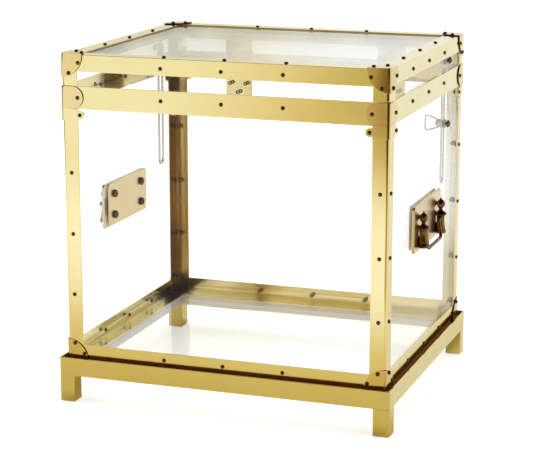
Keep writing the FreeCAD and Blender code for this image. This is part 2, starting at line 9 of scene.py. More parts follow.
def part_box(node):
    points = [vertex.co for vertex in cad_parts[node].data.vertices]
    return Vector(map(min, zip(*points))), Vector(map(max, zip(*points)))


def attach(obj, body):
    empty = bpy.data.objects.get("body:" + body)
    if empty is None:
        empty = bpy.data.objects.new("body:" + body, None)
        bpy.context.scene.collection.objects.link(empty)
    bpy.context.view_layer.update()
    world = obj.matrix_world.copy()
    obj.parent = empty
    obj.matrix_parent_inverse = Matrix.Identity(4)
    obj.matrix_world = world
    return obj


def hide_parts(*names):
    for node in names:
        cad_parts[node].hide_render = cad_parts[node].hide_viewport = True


# A trunk-style display box: brushed brass angle, clear panels, screwed corners, side handles and a low
# brass stand. Metres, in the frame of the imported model: X is the width, the front is at -Y, Z is up.

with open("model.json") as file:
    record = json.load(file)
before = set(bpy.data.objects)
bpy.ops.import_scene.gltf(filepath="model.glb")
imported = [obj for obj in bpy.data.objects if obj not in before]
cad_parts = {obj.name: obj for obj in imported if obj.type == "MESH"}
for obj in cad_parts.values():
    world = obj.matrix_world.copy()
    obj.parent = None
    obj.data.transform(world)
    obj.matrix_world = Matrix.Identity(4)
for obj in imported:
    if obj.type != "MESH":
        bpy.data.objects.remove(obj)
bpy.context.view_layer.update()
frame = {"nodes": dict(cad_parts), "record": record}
MM = 0.001

# ---- view ----
AZIMUTH = radians(19.36)
ELEVATION = radians(13.19)
DISTANCE = 2.291
AIM = Vector((-0.0057, 0.0, 0.1837))
LENS = 122.7
SENSOR = 36.0

# ---- edges and smoothing ----
WELD = 0.002 * MM
EDGE_ANGLE = radians(35)
SMOOTH_ANGLE = radians(42)
FLAT_ANGLE = radians(0.4)
SHORT_EDGE = 0.45 * MM
EDGE_SEGMENTS = 2
RAIL_EDGE = 0.5 * MM
SHEET_EDGE = 0.25 * MM
NEAR = 0.1 * MM
POST_CORNER = 3.8 * MM
CAP_CORNER = 4.0 * MM
CORNER_SEGMENTS = 7
CAP_FALL = 1.1 * MM
BRACKET_FALL = 0.3 * MM
CAP_REACH = 27.0 * MM
FALL_STEP = 4.5 * MM

# ---- how far a face must look one way to count as looking that way ----
LOOK_LEAST = 0.1
RIM_LEAST = 0.4
FLAT_LEAST = 0.9

# ---- the stand's and the lid's angle frames: wall and flange thickness, flange width, height ----
STAND_FRAME = (2.0 * MM, 20.0 * MM, 22.0 * MM)
LID_FRAME = (1.5 * MM, 20.0 * MM, 20.0 * MM)

# ---- screws ----
HEAD_R = 2.5 * MM
HEAD_H = 1.8 * MM
SLOT_W = 0.55 * MM
SLOT_DEPTH = 0.5 * MM
SLOT_TURN = radians(137.5)
HEAD_RINGS = 6
HEAD_STEPS = 20

# ---- handle posts: radius and height up the post, both in mm ----
POST_SHAPE = (
    (5.4, 194.0), (6.6, 194.6), (7.1, 196.2), (6.7, 198.2), (5.7, 199.6), (6.0, 200.8), (5.5, 204.0),
    (4.9, 208.0), (4.7, 212.0), (4.9, 215.0), (5.8, 216.4), (7.1, 217.2), (7.4, 218.4), (7.0, 219.6),
    (5.6, 220.8), (3.7, 221.8), (2.5, 223.4), (2.3, 225.0), (2.9, 226.0), (4.3, 227.6), (5.2, 229.8),
    (5.3, 231.6), (4.7, 233.6), (3.4, 235.2), (1.9, 236.2), (1.2, 237.2), (1.0, 238.2), (0.4, 239.0),
)
POST_SEGMENTS = 40
POST_Y = 42.0 * MM

NODES = frame["nodes"]
AXIS_OF = {joint["name"]: joint.get("pos_m") for joint in frame["record"]["behaviour"]["joints"]}
BODY_OF = {node: body for body, nodes in frame["record"]["behaviour"]["bodies"].items() for node in nodes}


# ---- node helpers ----

def add(tree, kind, values=None, **settings):
    node = tree.nodes.new(kind)
    for name, value in settings.items():
        setattr(node, name, value)
    for name, value in (values or {}).items():
        node.inputs[name].default_value = value
    return node


def link(tree, start, end):
    tree.links.new(start, end)


def math_node(tree, operation, *values):
    node = add(tree, "ShaderNodeMath", operation=operation)
    for socket, value in zip(node.inputs, values):
        if isinstance(value, (int, float)):
            socket.default_value = value
        else:
            link(tree, value, socket)
    return node.outputs[0]


def ramp(tree, factor, stops):
    node = add(tree, "ShaderNodeValToRGB")
    elements = node.color_ramp.elements
    elements[0].position, elements[0].color = stops[0][0], (*stops[0][1], 1)
    elements[1].position, elements[1].color = stops[-1][0], (*stops[-1][1], 1)
    for position, colour in stops[1:-1]:
        elements.new(position).color = (*colour, 1)
    link(tree, factor, node.inputs["Fac"])
    return node.outputs["Color"]


def noise(tree, vector, scale, detail=3.0, rough=0.55):
    node = add(tree, "ShaderNodeTexNoise", {"Scale": scale, "Detail": detail, "Roughness": rough})
    link(tree, vector, node.inputs["Vector"])
    return node.outputs["Fac"]


def spread(tree, value, low, high):
    """Map a noise value from its usual range to low..high."""
    node = add(tree, "ShaderNodeMapRange", {"From Min": 0.3, "From Max": 0.7, "To Min": low, "To Max": high})
    link(tree, value, node.inputs["Value"])
    return node.outputs["Result"]


def stretched(tree, scale):
    coords = add(tree, "ShaderNodeTexCoord")
    mapping = add(tree, "ShaderNodeMapping", {"Scale": scale})
    link(tree, coords.outputs["Object"], mapping.inputs["Vector"])
    return mapping.outputs["Vector"]


def fresh(name):
    material = bpy.data.materials.new(name)
    material.use_nodes = True
    return material, material.node_tree, material.node_tree.nodes["Principled BSDF"]


def bumped(tree, shader, height, strength, distance):
    node = add(tree, "ShaderNodeBump", {"Strength": strength, "Distance": distance})
    link(tree, height, node.inputs["Height"])
    link(tree, node.outputs["Normal"], shader.inputs["Normal"])


# ---- materials ----

GRAIN = {"x": (0.03, 1, 1), "y": (1, 0.03, 1), "z": (1, 1, 0.03)}
SPIN = {"x": 0.25, "y": 0.25, "z": 0.0}


def brushed(name, light, deep, grain, rough, streak_scale=900, streak_share=0.25):
    """Polished brass or nickel with faint scratches along one axis and broad, soft tarnish clouds."""
    material, tree, shader = fresh(name)
    along = stretched(tree, GRAIN[grain])
    still = stretched(tree, (1, 1, 1))
    fine = noise(tree, along, 3800, 2)
    streak = noise(tree, along, streak_scale, 4)
    cloud = noise(tree, still, 14, 3)
    tint = math_node(tree, "MULTIPLY", cloud, 1 - streak_share)
    tint = math_node(tree, "MULTIPLY_ADD", streak, streak_share, tint)
    link(tree, ramp(tree, tint, ((0.36, deep), (0.62, light))), shader.inputs["Base Color"])
    dull = math_node(tree, "MULTIPLY_ADD", fine, 0.6, math_node(tree, "MULTIPLY", cloud, 0.4))
    link(tree, spread(tree, dull, rough - 0.02, rough + 0.03), shader.inputs["Roughness"])
    shader.inputs["Metallic"].default_value = 1.0
    shader.inputs["Anisotropic"].default_value = 0.45
    shader.inputs["Anisotropic Rotation"].default_value = SPIN[grain]
    tangent = add(tree, "ShaderNodeTangent", direction_type="RADIAL", axis="Z")
    link(tree, tangent.outputs["Tangent"], shader.inputs["Tangent"])
    bumped(tree, shader, fine, 0.05, 0.00002)
    return material


def plain_metal(name, light, deep, rough, scale, bump):
    """Cast or turned metal with mottled tarnish and small dents. Rims, flange edges and screws made with it
    are darkened as painted shade and painted reflection.
    """
    material, tree, shader = fresh(name)
    still = stretched(tree, (1, 1, 1))
    cloud = noise(tree, still, scale, 4)
    grit = noise(tree, still, scale * 9, 3)
    link(tree, ramp(tree, cloud, ((0.35, deep), (0.65, light))), shader.inputs["Base Color"])
    link(tree, spread(tree, grit, rough - 0.05, rough + 0.08), shader.inputs["Roughness"])
    shader.inputs["Metallic"].default_value = 1.0
    bumped(tree, shader, grit, bump, 0.00006)
    return material


def clear_panel(name, square_on, power):
    """A thin clear pane with faint smears. Its gloss grows from square_on, seen square, to a full mirror."""
    material, tree, shader = fresh(name)
    still = stretched(tree, (1, 1, 1))
    smear = noise(tree, still, 24, 4)
    link(tree, spread(tree, smear, 0.015, 0.05), shader.inputs["Roughness"])
    tint = ramp(tree, smear, ((0.35, (0.96, 0.97, 0.97)), (0.65, (1, 1, 1))))
    link(tree, tint, shader.inputs["Base Color"])
    shader.inputs["Metallic"].default_value = 1.0
    clear = add(tree, "ShaderNodeBsdfTransparent", {"Color": (0.998, 0.999, 0.998, 1)})
    slant = add(tree, "ShaderNodeLayerWeight", {"Blend": 0.5}).outputs["Facing"]
    steep = math_node(tree, "POWER", slant, power)
    gloss = math_node(tree, "MULTIPLY_ADD", steep, 1.0 - square_on, square_on)
    mix = add(tree, "ShaderNodeMixShader")
    link(tree, gloss, mix.inputs["Fac"])
    link(tree, clear.outputs["BSDF"], mix.inputs[1])
    link(tree, shader.outputs["BSDF"], mix.inputs[2])
    link(tree, mix.outputs["Shader"], tree.nodes["Material Output"].inputs["Surface"])
    return material


def matt(name, light, deep, scale, bump):
    material, tree, shader = fresh(name)
    still = stretched(tree, (1, 1, 1))
    nap = noise(tree, still, scale, 5, 0.7)
    link(tree, ramp(tree, nap, ((0.35, deep), (0.65, light))), shader.inputs["Base Color"])
    link(tree, spread(tree, nap, 0.8, 0.95), shader.inputs["Roughness"])
    bumped(tree, shader, nap, bump, 0.0004)
    return material


def brass_set(name, light, deep, rough):
    return {grain: brushed(name + "_" + grain, light, deep, grain, rough) for grain in GRAIN}


# The brass of caps, brackets and the inner faces of the rear posts differs by piece, as it looks from the
# photo's angle. For caps and brackets that is partly painted reflection and partly their own tone; the rear
# posts' inner faces are painted reflection and painted shade.
frame_brass = brass_set("frame_brass", (0.90, 0.78, 0.40), (0.87, 0.74, 0.36), 0.10)
stand_brass = brass_set("stand_brass", (0.85, 0.72, 0.34), (0.81, 0.67, 0.29), 0.11)
corner_brass = brushed("corner_brass", (0.86, 0.68, 0.34), (0.82, 0.62, 0.28), "z", 0.13)
cap_brass = brushed("cap_brass", (0.80, 0.65, 0.30), (0.74, 0.58, 0.23), "z", 0.12)
low_cap_brass = brushed("low_cap_brass", (0.79, 0.63, 0.27), (0.73, 0.56, 0.21), "z", 0.13)
plate_brass = brushed("plate_brass", (0.84, 0.68, 0.40), (0.78, 0.61, 0.33), "y", 0.3)
# Painted shade: the dark inner edge of the lid frame's top flange.
flange_edge_painted_shade = plain_metal("flange_edge_painted_shade", (0.40, 0.29, 0.13), (0.30, 0.21, 0.09), 0.35, 60, 0.1)
# Painted shade and painted reflection: the dark inner faces of the rear left post.
painted_shade_inner_brass = brushed("painted_shade_inner_brass", (0.56, 0.37, 0.12), (0.24, 0.13, 0.02), "z", 0.16, 190, 0.9)
# Painted reflection: the near-white inner faces of the rear right post.
painted_reflection_pale_brass = brushed("painted_reflection_pale_brass", (0.96, 0.93, 0.84), (0.90, 0.87, 0.77), "z", 0.2)
# Painted shade: the near-black rims of the corner caps and the bracket lobes.
rim_painted_shade = plain_metal("rim_painted_shade", (0.07, 0.04, 0.010), (0.03, 0.016, 0.004), 0.40, 60, 0.2)
aged_brass = plain_metal("aged_brass", (0.30, 0.17, 0.055), (0.08, 0.035, 0.010), 0.16, 90, 0.15)
# Painted reflection: screw heads, nuts and bolts are brass darkened to the dark reflections their domes show.
dark_screw_painted_reflection = plain_metal("screw_brass_painted_reflection", (0.20, 0.13, 0.045), (0.09, 0.055, 0.015), 0.28, 300, 0.2)
nickel = brushed("nickel_steel", (0.66, 0.63, 0.57), (0.52, 0.49, 0.43), "z", 0.2)
glass = clear_panel("clear_panel", 0.008, 5.5)
top_glass = clear_panel("clear_top_panel", 0.02, 4.0)
# Dark brown of the stand's liner and inner walls: partly the liner's own tone, partly painted shade of the
# gap between the box and the stand's lip.
liner_and_painted_shade = matt("dark_liner", (0.30, 0.115, 0.012), (0.20, 0.070, 0.007), 700, 0.5)
pale_edge = matt("pale_edge", (0.62, 0.60, 0.60), (0.50, 0.48, 0.48), 500, 0.2)
backing = matt("pale_backing", (0.86, 0.84, 0.76), (0.78, 0.75, 0.66), 400, 0.2)
pad = matt("black_pad", (0.03, 0.03, 0.03), (0.012, 0.012, 0.012), 500, 0.4)


# ---- pieces ----

def finish_piece(name, bm, materials, body, nodes):
    mesh = bpy.data.meshes.new(name)
    bm.to_mesh(mesh)
    bm.free()
    for material in materials:
        mesh.materials.append(material)
    mesh.shade_smooth()
    mesh.set_sharp_from_angle(angle=SMOOTH_ANGLE)
    piece = bpy.data.objects.new(name, mesh)
    bpy.context.scene.collection.objects.link(piece)
    normals = piece.modifiers.new("even_faces", "WEIGHTED_NORMAL")
    normals.keep_sharp = True
    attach(piece, body)
    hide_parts(*nodes)
    return piece


def welded(node):
    bm = bmesh.new()
    bm.from_mesh(NODES[node].data)
    bmesh.ops.remove_doubles(bm, verts=bm.verts, dist=WELD)
    return bm


def round_edges(bm, edges, offset, segments):
    bmesh.ops.bevel(
        bm, geom=edges, offset=offset, segments=segments, profile=0.5, affect="EDGES", clamp_overlap=False
    )


def eased(node, edge, corner=0.0):
    """The node's shape with flat faces joined and its edges rounded, its outermost uprights by corner."""
    bm = welded(node)
    bmesh.ops.dissolve_limit(bm, angle_limit=FLAT_ANGLE, verts=bm.verts, edges=bm.edges)
    if corner:
        low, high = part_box(node)
        far_x = max(-low.x, high.x) - NEAR
        far_y = max(-low.y, high.y) - NEAR
        outer = {v for v in bm.verts if abs(v.co.x) > far_x and abs(v.co.y) > far_y}
        round_edges(bm, [e for e in bm.edges if outer.issuperset(e.verts)], corner, CORNER_SEGMENTS)
    hard = []
    for e in bm.edges:
        if len(e.link_faces) == 2 and e.calc_length() > SHORT_EDGE and e.calc_face_angle() > EDGE_ANGLE:
            hard.append(e)
    round_edges(bm, hard, edge, EDGE_SEGMENTS)
    return bm


def coloured(node, bm, materials, pick):
    """Replace a CAD node by a shape. pick gives the place in materials for each face."""
    bm.normal_update()
    for face in bm.faces:
        face.material_index = pick(face)
    return finish_piece(node + "_metal", bm, materials, BODY_OF[node], [node])


def metal_piece(node, material, edge, corner=0.0):
    return coloured(node, eased(node, edge, corner), [material], lambda face: 0)


def paint(node, material):
    mesh = NODES[node].data
    mesh.materials.clear()
    mesh.materials.append(material)


def islands(node):
    """The lowest and highest corner of every separate solid of a node."""
    bm = welded(node)
    seen = set()
    found = []
    for start in bm.verts:
        if start in seen:
            continue
        seen.add(start)
        low, high = start.co.copy(), start.co.copy()
        queue = [start]
        while queue:
            vert = queue.pop()
            low = Vector(map(min, low, vert.co))
            high = Vector(map(max, high, vert.co))
            for e in vert.link_edges:
                other = e.other_vert(vert)
                if other not in seen:
                    seen.add(other)
                    queue.append(other)
        found.append((low, high))
    bm.free()
    return found


# ---- stand ----

def loop_around(bm, half_x, half_y, inset, z, corner):
    """A closed row of points: a rectangle with rounded corners, drawn in from the outside by inset."""
    radius = max(corner - inset, WELD)
    verts = []
    for quarter, (side_x, side_y) in enumerate(((1, 1), (-1, 1), (-1, -1), (1, -1))):
        centre_x = side_x * (half_x - inset - radius)
        centre_y = side_y * (half_y - inset - radius)
        for step in range(CORNER_SEGMENTS + 1):
            turn = (quarter + step / CORNER_SEGMENTS) * pi / 2
            verts.append(bm.verts.new((centre_x + radius * cos(turn), centre_y + radius * sin(turn), z)))
    return verts


def side_index(face):
    """0 for the parts of a frame that run along X, 1 for those along Y."""
    edge = max(face.edges, key=lambda e: e.calc_length())
    along = edge.verts[0].co - edge.verts[1].co
    return 0 if abs(along.x) > abs(along.y) else 1


def angle_frame(name, nodes, half_x, half_y, outline, corner, materials, dark_from, dark):
    """A frame of angle bar. outline is its section as (inset, z). Its rows from dark_from on take dark, which
    carries painted shade.
    """
    bm = bmesh.new()
    rows = [loop_around(bm, half_x, half_y, inset, z, corner) for inset, z in outline]
    for count, (row, after) in enumerate(zip(rows, rows[1:] + rows[:1])):
        for here in range(len(row)):
            there = (here + 1) % len(row)
            face = bm.faces.new((row[here], row[there], after[there], after[here]))
            face.material_index = 2 if count in dark_from else side_index(face)
    bmesh.ops.recalc_face_normals(bm, faces=bm.faces)
    return finish_piece(name, bm, [*materials, dark], BODY_OF[nodes[0]], nodes)


def rounded_top(inset, z, radius, inwards):
    """Points of a rounded top edge of a section, from the upright face to the level one."""
    points = []
    for step in range(CORNER_SEGMENTS + 1):
        turn = pi / 2 * step / CORNER_SEGMENTS
        points.append((inset + inwards * radius * (1 - cos(turn)), z - radius * (1 - sin(turn))))
    return points


WALLS = ("front", "rear", "left", "right")
STAND_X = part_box("stand_rail_right")[1].x
STAND_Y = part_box("stand_rail_rear")[1].y
STAND_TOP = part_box("stand_rail_front")[1].z
sheet, flange, tall = STAND_FRAME
stand_outline = [(0.0, STAND_TOP - tall)]
stand_outline += rounded_top(0.0, STAND_TOP, RAIL_EDGE, 1)
stand_outline += rounded_top(sheet, STAND_TOP, RAIL_EDGE, -1)[::-1]
stand_outline += [
    (sheet, STAND_TOP - tall + sheet),
    (flange, STAND_TOP - tall + sheet),
    (flange, STAND_TOP - tall),
]
# The stand's inner wall and ledge take the liner colour: partly a lining, partly painted shade of the gap.
LINED_AND_SHADED_ROWS = range(len(stand_outline) - 4, len(stand_outline) - 2)
angle_frame(
    "stand_frame", ["stand_rail_" + wall for wall in WALLS], STAND_X, STAND_Y, stand_outline, POST_CORNER,
    (stand_brass["x"], stand_brass["y"]), LINED_AND_SHADED_ROWS, liner_and_painted_shade,
)
metal_piece("stand_legs", stand_brass["z"], RAIL_EDGE, POST_CORNER)
paint("foot_pads", pad)


def looks_in(face):
    """1 for upright faces that look to the middle of the box."""
    middle = face.calc_center_median()
    return 1 if face.normal.x * middle.x + face.normal.y * middle.y < -LOOK_LEAST else 0


# The liner's outer faces are dark, partly its own tone and partly painted shade; its inner faces are pale.
coloured("stand_liner", eased("stand_liner", SHEET_EDGE), [liner_and_painted_shade, pale_edge], looks_in)

# ---- frame ----

BODY_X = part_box("base_rail_right")[1].x
BODY_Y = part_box("base_rail_rear")[1].y
TOP_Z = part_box("lid_rail_front")[1].z
BAND_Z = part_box("top_band_front")[0].z

sheet, flange, tall = LID_FRAME
lid_outline = [(0.0, TOP_Z - tall)] + rounded_top(0.0, TOP_Z, RAIL_EDGE, 1)
lid_outline += [(flange, TOP_Z), (flange, TOP_Z - sheet), (sheet, TOP_Z - sheet), (sheet, TOP_Z - tall)]
# The flange's inner edge row takes painted shade.
FLANGE_ROW = range(len(lid_outline) - 4, len(lid_outline) - 3)
angle_frame(
    "lid_frame", ["lid_rail_" + wall for wall in WALLS], BODY_X, BODY_Y, lid_outline, POST_CORNER,
    (frame_brass["x"], frame_brass["y"]), FLANGE_ROW, flange_edge_painted_shade,
)
for wall, grain in zip(WALLS, "xxyy"):
    metal_piece("base_rail_" + wall, frame_brass[grain], SHEET_EDGE)
    metal_piece("top_band_" + wall, frame_brass[grain], SHEET_EDGE)
    paint("panel_" + wall, glass)
    paint("lid_strip_" + wall, glass)
for side in ("front_left", "front_right"):
    metal_piece("post_" + side, frame_brass["z"], SHEET_EDGE, POST_CORNER)
# The rear posts' inner faces carry painted light: painted shade and reflection on the left, painted
# reflection on the right.
for node, inner_painted_light in (("post_rear_left", painted_shade_inner_brass), ("post_rear_right", painted_reflection_pale_brass)):
    coloured(node, eased(node, SHEET_EDGE, POST_CORNER), [frame_brass["z"], inner_painted_light], looks_in)
metal_piece("lid_corner_posts", frame_brass["z"], SHEET_EDGE, POST_CORNER)
paint("floor_panel", glass)
paint("lid_top_panel", top_glass)

# ---- corner caps and brackets, with painted shade on their rims ----

def sign(value):
    return 1 if value > 0 else -1


def with_falling_corners(node, edge, corner, fall):
    """Corner plates whose upright faces fall away by a little towards the corner they wrap."""
    bm = eased(node, edge, corner)
    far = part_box(node)[1]
    for step in range(1, int(CAP_REACH / FALL_STEP)):
        for axis in (0, 1):
            for side in (-1, 1):
                plane = Vector((0, 0, 0))
                plane[axis] = side
                geometry = bm.verts[:] + bm.edges[:] + bm.faces[:]
                spot = plane * (far[axis] - step * FALL_STEP)
                bmesh.ops.bisect_plane(bm, geom=geometry, plane_co=spot, plane_no=plane)
    for vert in bm.verts:
        place = vert.co.copy()
        for axis, other in ((0, 1), (1, 0)):
            outside = max(0.0, 1 - (far[axis] - abs(place[axis])) / corner)
            along = max(0.0, 1 - (far[other] - abs(place[other])) / CAP_REACH)
            vert.co[axis] -= sign(place[axis]) * fall * outside * along ** 2
    return bm


def away(face):
    """How far a face of a corner piece looks away from its upright corner, along a wall."""
    middle = face.calc_center_median()
    return max(-sign(middle.x) * face.normal.x, -sign(middle.y) * face.normal.y)


def lid_cap_rim(face):
    return 1 if away(face) > RIM_LEAST else 0


def base_cap_rim(face):
    return 1 if max(away(face), face.normal.z) > RIM_LEAST else 0


def bracket_part(face):
    """0 for the lobes, 1 for their rims, 2 for the straps below them."""
    if face.calc_center_median().z < BAND_Z - NEAR:
        return 2
    return 1 if away(face) > RIM_LEAST else 0


lid_caps = with_falling_corners("lid_corner_caps", SHEET_EDGE, CAP_CORNER, CAP_FALL)
coloured("lid_corner_caps", lid_caps, [cap_brass, rim_painted_shade], lid_cap_rim)
base_caps = with_falling_corners("base_corner_caps", SHEET_EDGE, CAP_CORNER, CAP_FALL)
coloured("base_corner_caps", base_caps, [low_cap_brass, rim_painted_shade], base_cap_rim)
brackets = with_falling_corners("corner_brackets", SHEET_EDGE, CAP_CORNER, BRACKET_FALL)
everything = brackets.verts[:] + brackets.edges[:] + brackets.faces[:]
bmesh.ops.bisect_plane(brackets, geom=everything, plane_co=(0, 0, BAND_Z), plane_no=(0, 0, 1))
coloured("corner_brackets", brackets, [corner_brass, rim_painted_shade, frame_brass["z"]], bracket_part)

# ---- hinges and stays ----

metal_piece("hinge_leaves_lower", frame_brass["z"], SHEET_EDGE)
metal_piece("hinge_leaves_upper", frame_brass["z"], SHEET_EDGE)
metal_piece("hinge_pins", frame_brass["x"], SHEET_EDGE)
for side in ("left", "right"):
    metal_piece("stay_" + side, nickel, SHEET_EDGE)
metal_piece("stay_pivot_bolts", dark_screw_painted_reflection, SHEET_EDGE)
metal_piece("guide_bolts", dark_screw_painted_reflection, SHEET_EDGE)


# ---- screws ----

def slotted_head():
    """A round head with a sunk slot, standing on z = 0."""
    bm = bmesh.new()
    outline = [Vector((HEAD_R, 0, 0))]
    for step in range(1, HEAD_RINGS + 1):
        turn = pi / 2 * step / HEAD_RINGS
        outline.append(Vector((HEAD_R * cos(turn), 0, HEAD_H * sin(turn))))
    verts = [bm.verts.new(point) for point in outline]
    edges = [bm.edges.new(pair) for pair in zip(verts, verts[1:])]
    bmesh.ops.spin(
        bm, geom=verts + edges, cent=(0, 0, 0), axis=(0, 0, 1), angle=2 * pi, steps=HEAD_STEPS
    )
    bmesh.ops.remove_doubles(bm, verts=bm.verts, dist=WELD)
    for side in (-1, 1):
        everything = bm.verts[:] + bm.edges[:] + bm.faces[:]
        bmesh.ops.bisect_plane(bm, geom=everything, plane_co=(0, side * SLOT_W / 2, 0), plane_no=(0, 1, 0))
    sunk = []
    for face in bm.faces:
        middle = face.calc_center_median()
        if abs(middle.y) < SLOT_W / 2 and middle.z > HEAD_H / 2:
            sunk.append(face)
    lowered = bmesh.ops.extrude_face_region(bm, geom=sunk)["geom"]
    moved = [item for item in lowered if isinstance(item, bmesh.types.BMVert)]
    bmesh.ops.translate(bm, vec=(0, 0, -SLOT_DEPTH), verts=moved)
    bmesh.ops.delete(bm, geom=[f for f in sunk if f.is_valid], context="FACES_ONLY")
    bmesh.ops.recalc_face_normals(bm, faces=bm.faces)
    mesh = bpy.data.meshes.new("slotted_head")
    bm.to_mesh(mesh)
    bm.free()
    return mesh


def outward(low, high):
    """The direction in which a screw's head looks."""
    size = high - low
    middle = (low + high) / 2
    axis = max(range(3), key=lambda i: size[i])
    direction = Vector((0, 0, 0))
    direction[axis] = 1 if axis == 2 or middle[axis] > 0 else -1
    return direction


def screws(node, head):
    bm = bmesh.new()
    for count, (low, high) in enumerate(islands(node)):
        direction = outward(low, high)
        size = high - low
        middle = (low + high) / 2
        seat = middle + direction * (abs(size.dot(direction)) / 2 - HEAD_H)
        stand_up = direction.to_track_quat("Z", "Y").to_matrix().to_4x4()
        place = Matrix.Translation(seat) @ stand_up @ Matrix.Rotation(SLOT_TURN * count, 4, "Z")
        before = len(bm.verts)
        bm.from_mesh(head)
        bm.verts.ensure_lookup_table()
        bmesh.ops.transform(bm, matrix=place, verts=bm.verts[before:])
    return finish_piece(node + "_slotted", bm, [dark_screw_painted_reflection], BODY_OF[node], [node])


head_mesh = slotted_head()
screws("trunk_screws", head_mesh)
screws("lid_screws", head_mesh)
paint("trunk_screw_nuts", dark_screw_painted_reflection)
paint("lid_screw_nuts", dark_screw_painted_reflection)


# ---- handles ----

def lathe(bm, shape, centre_x, centre_y):
    """A turned form about an upright axis, closed at both ends."""
    rings = []
    for radius, height in shape:
        ring = []
        for step in range(POST_SEGMENTS):
            turn = 2 * pi * step / POST_SEGMENTS
            x = centre_x + radius * MM * cos(turn)
            y = centre_y + radius * MM * sin(turn)
            ring.append(bm.verts.new((x, y, height * MM)))
        rings.append(ring)
    for lower, upper in zip(rings, rings[1:]):
        for step in range(POST_SEGMENTS):
            after = (step + 1) % POST_SEGMENTS
            bm.faces.new((lower[step], lower[after], upper[after], upper[step]))
    bm.faces.new(rings[0][::-1])
    bm.faces.new(rings[-1])


def faces_glass(face):
    """1 for the side of a handle plate that lies on the glass."""
    middle = face.calc_center_median()
    return 1 if PLATE_GAP_IN < abs(middle.x) < PLATE_GAP_OUT and abs(face.normal.x) > FLAT_LEAST else 0


PLATE_GAP_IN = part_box("handle_plates_inner")[1].x - NEAR
PLATE_GAP_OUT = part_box("handle_plate_outer_right")[0].x + NEAR
for side, sign_x in (("right", 1), ("left", -1)):
    plate, posts, grip = "handle_plate_outer_" + side, "handle_posts_" + side, "handle_bail_" + side
    coloured(plate, eased(plate, 2 * SHEET_EDGE), [plate_brass, backing], faces_glass)
    face_x = max(abs(corner.x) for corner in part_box(plate))
    axis_x = AXIS_OF["bail_swing_" + side][0]
    bm = bmesh.new()
    for y in (-POST_Y, POST_Y):
        lathe(bm, POST_SHAPE, axis_x, y)
    everything = bm.verts[:] + bm.edges[:] + bm.faces[:]
    spot, away_from_plate = Vector((sign_x * face_x, 0, 0)), Vector((-sign_x, 0, 0))
    bmesh.ops.bisect_plane(bm, geom=everything, plane_co=spot, plane_no=away_from_plate, clear_outer=True)
    bmesh.ops.holes_fill(bm, edges=[e for e in bm.edges if e.is_boundary])
    bmesh.ops.recalc_face_normals(bm, faces=bm.faces)
    finish_piece("handle_posts_turned_" + side, bm, [aged_brass], BODY_OF[posts], [posts])
    metal_piece(grip, aged_brass, SHEET_EDGE)
plates = eased("handle_plates_inner", 2 * SHEET_EDGE)
coloured("handle_plates_inner", plates, [plate_brass, backing], faces_glass)
metal_piece("handle_nuts", dark_screw_painted_reflection, 2 * SHEET_EDGE)

# ---- wing nuts ----

for side in ("left", "right"):
    paint("wing_nut_" + side, nickel)

# ---- floor, lights and camera ----

FLOOR_REACH = 12.0


def card(name, corners, material, glossy_only):
    mesh = bpy.data.meshes.new(name)
    mesh.from_pydata(corners, [], [tuple(range(len(corners)))])
    mesh.materials.append(material)
    made = bpy.data.objects.new(name, mesh)
    bpy.context.scene.collection.objects.link(made)
    if glossy_only:
        made.visible_camera = False
        made.visible_diffuse = False
        made.visible_shadow = False
        made.visible_transmission = False
        made.visible_volume_scatter = False
    return made


floor_material, tree, shader = fresh("pale_floor")
mottle = noise(tree, stretched(tree, (1, 1, 1)), 3)
link(tree, ramp(tree, mottle, ((0.3, (0.55,) * 3), (0.7, (0.58,) * 3))), shader.inputs["Base Color"])
shader.inputs["Roughness"].default_value = 0.9
shader.inputs["Specular IOR Level"].default_value = 0.1
shader.inputs["Emission Color"].default_value = (1, 1, 1, 1)
shader.inputs["Emission Strength"].default_value = 0.62


def square_card(name, half, height, material, glossy_only):
    corners = [(-half, -half, height), (half, -half, height), (half, half, height), (-half, half, height)]
    return card(name, corners, material, glossy_only)


square_card("studio_floor", FLOOR_REACH, 0.0, floor_material, False)

# Three soft lamps light the box. What its metal reflects is set here, apart from them: a surround and a
# floor glow that is seen in reflections only. They are bright except behind the viewer and at the left,
# where they are dark, and the glow dims close to the box. They were tuned to the photo from its
# angle. Each of the next two turns a brightness from 0 to 1.15 into a colour. WARMTH says where each is used.
WARM_SHADES = (
    (0.0, (0.012, 0.006, 0.001)),
    (0.35, (0.25, 0.17, 0.04)),
    (0.60, (0.60, 0.49, 0.21)),
    (0.72, (0.70, 0.60, 0.30)),
    (0.82, (0.82, 0.70, 0.43)),
    (0.92, (0.93, 0.88, 0.74)),
    (1.0, (1.0, 1.0, 0.98)),
    (1.15, (1.14, 1.18, 1.34)),
)
COOL_SHADES = (
    (0.0, (0.50, 0.48, 0.36)),
    (0.35, (0.66, 0.65, 0.50)),
    (0.62, (0.80, 0.78, 0.66)),
    (0.70, (0.81, 0.77, 0.62)),
    (0.85, (0.86, 0.82, 0.67)),
    (1.05, (0.90, 0.89, 0.82)),
    (1.15, (0.94, 0.95, 0.96)),
)
TOP_SHADE = WARM_SHADES[-1][0]
# Brightness by compass direction from the front, in half turns: 0 is straight in front, 0.1 is to the right.
AROUND = (
    (-1.0, 1.15), (-0.905, 1.13), (-0.893, 0.95), (-0.883, 0.62), (-0.80, 0.62), (-0.70, 0.1), (-0.45, 0.1),
    (-0.30, 1.0), (-0.123, 1.02), (-0.093, 0.88), (-0.068, 0.66), (-0.028, 0.35), (0.012, 0.06), (0.24, 0.06),
    (0.34, 0.5), (0.45, 1.15), (1.0, 1.15),
)
# How warm the light is, by the same directions.
WARMTH = (
    (-1.0, 0.0), (-0.76, 0.0), (-0.70, 0.6), (-0.45, 0.6), (-0.38, 0.0), (-0.36, 0.0), (-0.26, 1.0),
    (0.32, 1.0), (0.42, 0.0), (1.0, 0.0),
)
